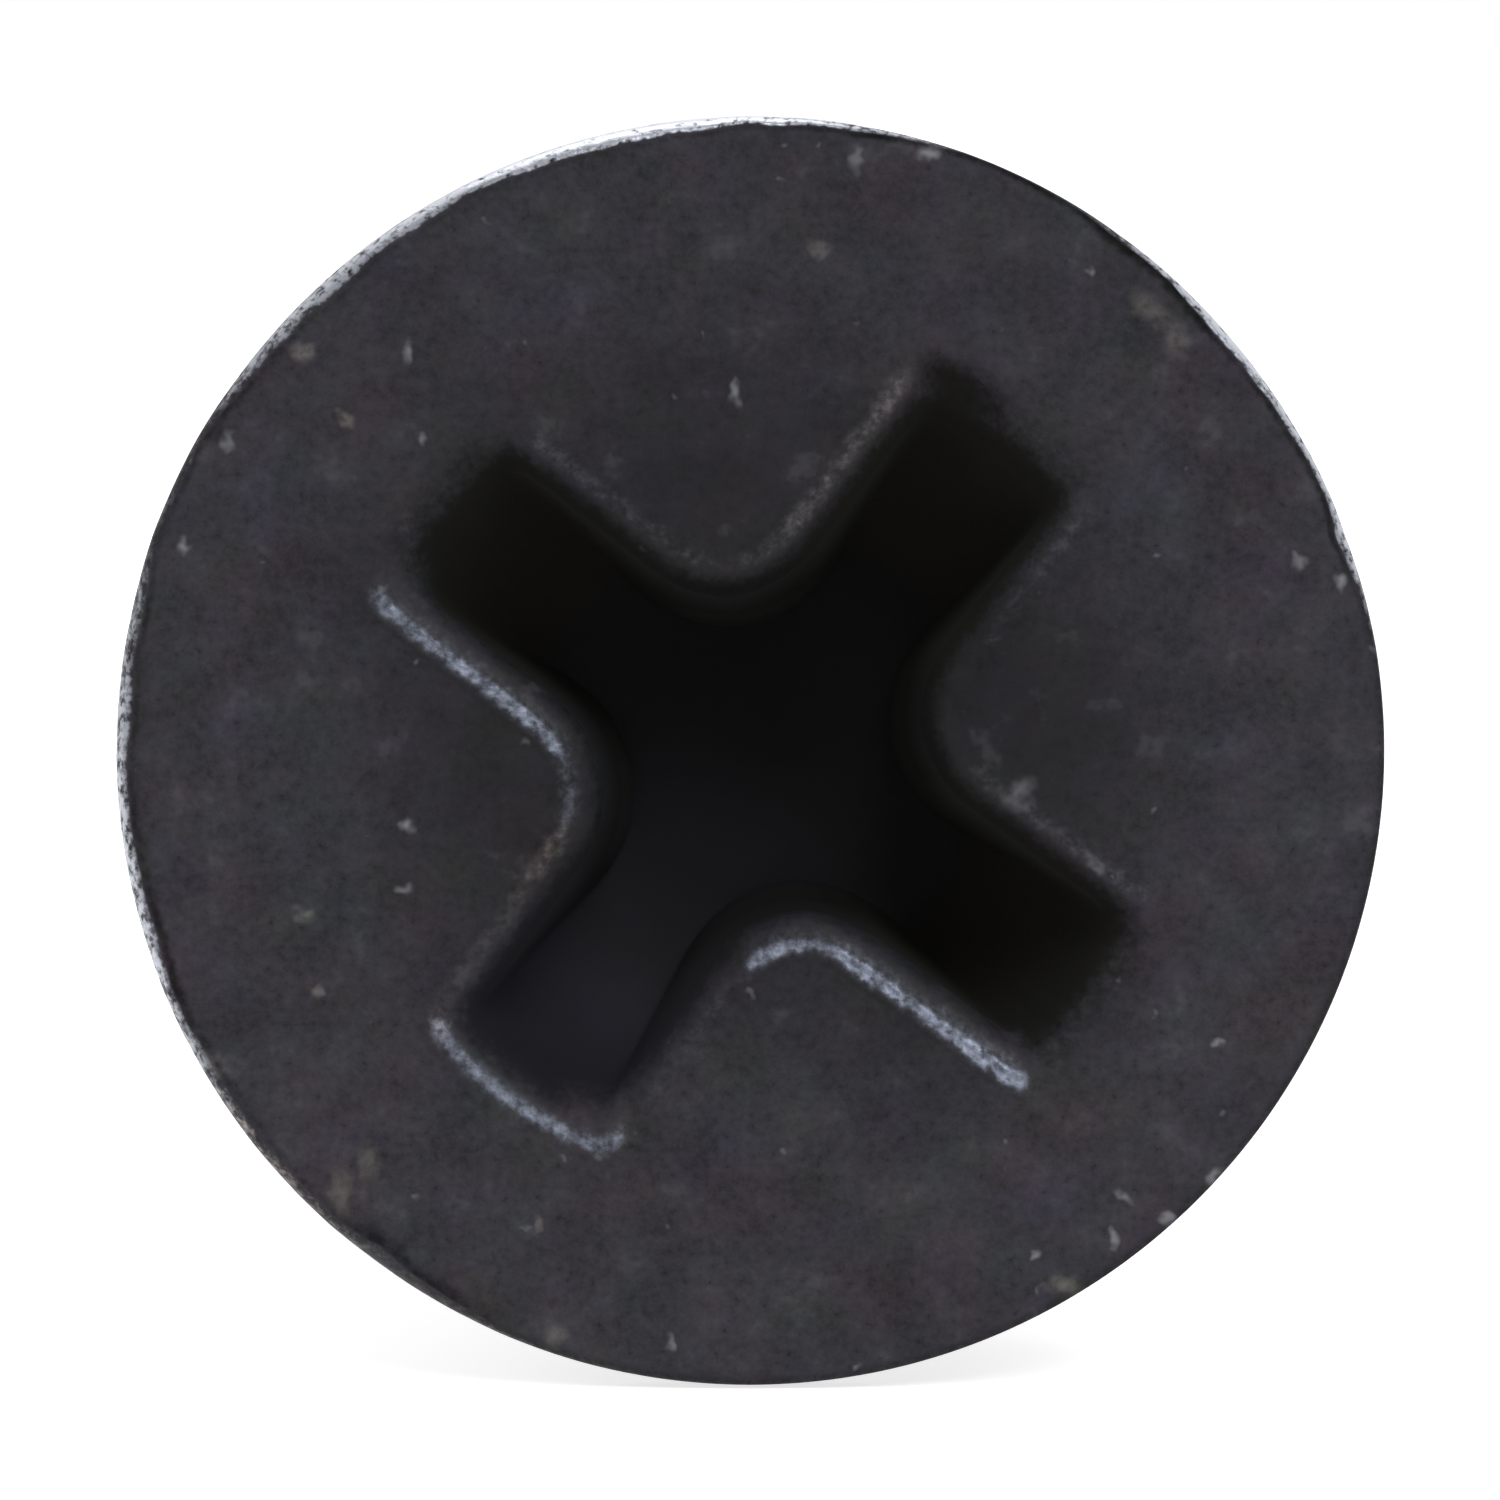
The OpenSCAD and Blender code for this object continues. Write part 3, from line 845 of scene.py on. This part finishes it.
def coat(g, here):
    """The plain coat: cloudy and grainy, darker towards the recess, and lighter at the lower left as
    painted light.
    """
    cloud = g.noise(here.at, *CLOUD)
    fine = g.noise(here.at, *FINE)
    level = g.ramp(cloud, 0.3, 0.7, -0.12, 0.12)
    level = g.math("ADD", level, g.ramp(here.mottle, 0.34, 0.66, -0.20, 0.20))
    level = g.math("ADD", level, g.ramp(here.grain, 0.3, 0.7, -0.32, 0.32, smooth=False))
    level = g.math("ADD", level, g.ramp(fine, 0.3, 0.7, -0.10, 0.10, smooth=False))
    level = g.math("ADD", level, 1.0)
    for x, up, near, far, brightness in SHADES:
        shade = g.ramp(g.vector("DISTANCE", here.at, (x, up, 0)), near, far, brightness, 1.0)
        level = g.math("MULTIPLY", level, shade)
    # Painted light: the coat gets lighter towards the lower left
    low_left = g.vector("DOT_PRODUCT", here.at, (-0.2, -1.0, 0))
    level = g.math("MULTIPLY", level, g.ramp(low_left, -4.0, 4.0, 0.87, 1.16, smooth=False))
    below = g.ramp(g.vector("DOT_PRODUCT", here.at, (-0.25, -1.0, 0)), -3.0, 3.0)
    tinted = g.vector("MULTIPLY", here.tint, TINT)
    colour = g.mix(TINT_SHARE, g.mix(below, COAT_TOP, COAT_LOW), tinted)
    return g.vector("SCALE", colour, scale=level)


def with_marks(g, here, colour):
    """The coat with small pale crystals, pits, dirt at its edge and the marks that stand out."""
    crust = g.ramp(here.mottle, 0.60, 0.74, 0.0, 0.10)
    speck = g.node("ShaderNodeTexVoronoi", {"Vector": here.ragged, "Scale": SPECK_SCALE, "Randomness": 1.0})
    speck_size = g.node("ShaderNodeSeparateColor", {"Color": speck.outputs["Color"]}).outputs[0]
    reach = g.ramp(speck_size, 0.55, 1.0, 0.02, 0.16, smooth=False)
    dots = g.ramp(g.math("DIVIDE", speck.outputs["Distance"], reach), 1.2, 0.1)
    dots = g.math("MULTIPLY", dots, g.ramp(speck_size, 0.42, 1.0, 0.0, 0.38))
    pale = g.math("MAXIMUM", g.math("MAXIMUM", dots, crust), marks(g, here.ragged, PALE_MARKS))
    warm = g.math("MULTIPLY", marks(g, here.ragged, WARM_MARKS), g.ramp(here.grain, 0.3, 0.6, 0.6, 1.0))
    pits = g.math("MAXIMUM", g.ramp(here.grain, 0.36, 0.28, 0.0, 0.35), marks(g, here.ragged, DARK_MARKS))
    dirt = g.math("MULTIPLY", g.ramp(here.flat_r, 4.02, 4.08), g.ramp(here.grain, 0.44, 0.58))
    pits = g.math("MAXIMUM", pits, g.math("MULTIPLY", dirt, 0.5))
    colour = g.vector("SCALE", colour, scale=g.math("SUBTRACT", 1.0, pits))
    colour = g.mix(pale, colour, PALE)
    return g.mix(warm, colour, g.mix(g.ramp(here.tint, 0.45, 0.55), ROSY, OCHRE))


def recess_colour(g, here):
    """Painted shade and light in the recess: olive by the face, greyer deep down, bluish and lighter as
    painted light in the open arm, and darkest as painted shade under the lip and on the lobes' walls.
    """
    to_left = g.ramp(g.vector("DOT_PRODUCT", here.at, (-0.6, -0.8, 0)), -0.7, 0.7)
    colour = g.mix(g.ramp(here.depth, 1.7, 2.3), OLIVE, g.mix(to_left, DEEP_RIGHT, DEEP_LEFT))
    open_arm = g.ramp(g.vector("DISTANCE", here.at, OPEN_ARM_AT), 2.8, 0.5)
    under_lip = g.ramp(here.depth, 0.0, 2.2, 0.27, 1.0)
    colour = g.vector("SCALE", g.mix(open_arm, colour, OPEN_ARM), scale=under_lip)
    past_lobes = g.ramp(here.flat_r, 1.05, 1.5, 0.25, 1.0)
    below_lobes = g.ramp(here.depth, 1.2, 1.9, 0.25, 1.0)
    return g.vector("SCALE", colour, scale=g.math("MAXIMUM", past_lobes, below_lobes))


def bare_and_highlight_colour(g, here, shine):
    """The metal that shows on the lips, where it sparkles, and on the rim, with painted highlights and
    glints.
    """
    lip = g.mix(here.warm, g.mix(shine, LIP_DULL, LIP_BRIGHT), g.mix(shine, BROWN_DULL, BROWN_BRIGHT))
    sparkle = g.ramp(here.grain, 0.35, 0.65, 0.62, 1.38, smooth=False)
    rim = g.mix(here.warm, g.mix(g.ramp(here.burnish, 0.3, 0.98), RIM_DULL, RIM_BRIGHT), RIM_BROWN)
    return g.mix(here.at_rim, g.vector("SCALE", lip, scale=sparkle), rim)


def add_phosphate(mesh):
    """Black phosphate, dark with painted shade in the recess, worn on the crests and at the point, bare
    with painted highlights on lips and rim.
    """
    material = bpy.data.materials.new("black_phosphate")
    material.use_nodes = True
    g = Graph(material.node_tree)
    here = Surface(g)
    colour = with_marks(g, here, coat(g, here))
    colour = g.mix(here.inside, colour, recess_colour(g, here))
    worn = g.math("MULTIPLY", here.wear, g.ramp(here.chips, -0.08, 0.12))
    colour = g.mix(g.math("MULTIPLY", worn, 0.6), colour, WORN)
    # Bare metal with its painted highlight, patchy on the rim
    uneven = g.math("MULTIPLY", here.chips, g.ramp(here.at_rim, 0.0, 1.0, 2.4, 3.0))
    rubbed_and_highlight = g.math("MULTIPLY", here.burnish, g.math("ADD", uneven, 1.0))
    scuff_start = g.ramp(here.at_rim, 0.0, 1.0, 0.16, 0.3)
    scuff_full = g.ramp(here.at_rim, 0.0, 1.0, 1.15, 0.9)
    scuff_and_highlight = g.ramp(rubbed_and_highlight, scuff_start, scuff_full)
    shine = g.ramp(here.burnish, 0.35, 0.9)
    colour = g.mix(scuff_and_highlight, colour, bare_and_highlight_colour(g, here, shine))

    rough = g.ramp(here.mottle, 0.2, 0.8, 0.52, 0.66)
    rough = g.math("ADD", rough, g.ramp(here.grain, 0.2, 0.8, -0.05, 0.05))
    rough = g.math("SUBTRACT", rough, g.math("MULTIPLY", scuff_and_highlight, 0.22))
    rough = g.math("SUBTRACT", rough, g.math("MULTIPLY", worn, 0.12))
    rough = g.math("ADD", rough, g.math("MULTIPLY", here.inside, 0.5), clamp=True)
    bare = g.math("MULTIPLY", g.math("MULTIPLY", scuff_and_highlight, shine), 0.85)
    metal = g.math("ADD", bare, g.math("MULTIPLY", worn, 0.5), clamp=True)
    bump = g.node("ShaderNodeBump", {"Strength": BUMP_STRENGTH, "Distance": BUMP_M, "Height": here.grain})
    shader = g.node("ShaderNodeBsdfPrincipled", {
        "Base Color": colour,
        "Metallic": metal,
        "Roughness": rough,
        "Normal": bump.outputs[0],
        "Specular IOR Level": SPECULAR,
    })
    g.node("ShaderNodeOutputMaterial", {"Surface": shader.outputs[0]})
    mesh.materials.append(material)


add_phosphate(body.data)
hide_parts("screw")
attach(body, "root")

# Half the floor's side, in metres, and the paper's tone for light that bounces
FLOOR_HALF_M, PAPER = 0.6, (0.82, 0.82, 0.82, 1)
# How bright the floor looks below the screw and away from it, and between which distances
# that changes, in metres
FLOOR_NEAR, FLOOR_FAR, FLOOR_NEAR_M, FLOOR_FAR_M = 0.72, 1.0, 0.02, 0.10
WHITE = (1, 1, 1, 1)


def add_floor():
    """A white floor, which glows for the camera and in reflections."""
    side = FLOOR_HALF_M
    mesh = bpy.data.meshes.new("floor")
    corners = [(-side, -side, 0), (side, -side, 0), (side, side, 0), (-side, side, 0)]
    mesh.from_pydata(corners, [], [(0, 1, 2, 3)])
    floor = bpy.data.objects.new("floor", mesh)
    bpy.context.scene.collection.objects.link(floor)
    material = bpy.data.materials.new("floor_paper")
    material.use_nodes = True
    g = Graph(material.node_tree)
    path = g.node("ShaderNodeLightPath")
    mirrored = g.math("MAXIMUM", path.outputs["Is Glossy Ray"], path.outputs["Is Transmission Ray"])
    seen = g.math("MAXIMUM", path.outputs["Is Camera Ray"], mirrored)
    spot = g.node("ShaderNodeNewGeometry").outputs["Position"]
    glow = g.ramp(g.vector("LENGTH", spot), FLOOR_NEAR_M, FLOOR_FAR_M, FLOOR_NEAR, FLOOR_FAR)
    paper = g.node("ShaderNodeBsdfDiffuse", {"Color": PAPER})
    light = g.node("ShaderNodeEmission", {"Color": WHITE, "Strength": g.math("MULTIPLY", seen, glow)})
    both = g.node("ShaderNodeAddShader", {0: paper.outputs[0], 1: light.outputs[0]})
    g.node("ShaderNodeOutputMaterial", {"Surface": both.outputs[0]})
    mesh.materials.append(material)
    return floor


floor = add_floor()

# The world's strength: for light that bounces, and in reflections from before and behind the screw
SKY_LIGHT, SKY_FRONT, SKY_BACK = 0.3, 0.22, 1.0
scene = bpy.context.scene


def add_world():
    """A sky that is white for the camera and dimmer for the screw."""
    sky = bpy.data.worlds.new("studio")
    scene.world = sky
    sky.use_nodes = True
    g = Graph(sky.node_tree)
    path = g.node("ShaderNodeLightPath")
    look = g.node("ShaderNodeSeparateXYZ", {0: g.node("ShaderNodeTexCoord").outputs["Generated"]})
    behind = g.ramp(look.outputs["Y"], -0.15, 0.35, SKY_FRONT, SKY_BACK)
    mirrored = g.math("MAXIMUM", path.outputs["Is Glossy Ray"], path.outputs["Is Transmission Ray"])
    strength = g.math("MAXIMUM", path.outputs["Is Camera Ray"], g.math("MULTIPLY", mirrored, behind))
    strength = g.math("MAXIMUM", strength, SKY_LIGHT)
    back = g.node("ShaderNodeBackground", {"Color": WHITE, "Strength": strength})
    g.node("ShaderNodeOutputWorld", {"Surface": back.outputs[0]})


def lamp(name, azimuth, tilt, distance, size, power, tone):
    """A square soft light: azimuth round the face as the camera sees it, tilt away from the view line."""
    data = bpy.data.lights.new(name, "AREA")
    data.shape = "SQUARE"
    data.size = size * MM
    data.energy = power
    data.color = tone
    light = bpy.data.objects.new(name, data)
    scene.collection.objects.link(light)
    side = RIGHT * float(cos(azimuth)) + UP * float(sin(azimuth))
    away = side * float(sin(tilt)) - AXIS * float(cos(tilt))
    light.location = MIDDLE + away * distance * MM
    light.rotation_mode = "QUATERNION"
    light.rotation_quaternion = (-away).to_track_quat("-Z", "Y")


add_world()
lamp("key", 66, 52, 110, 80, 0.085, (0.95, 0.97, 1.0))
lamp("fill", 160, 60, 120, 90, 0.02, (1.0, 1.0, 1.0))
lamp("back", 92, 118, 130, 90, 0.03, (1.0, 1.0, 1.0))

scene.view_settings.view_transform = "Standard"
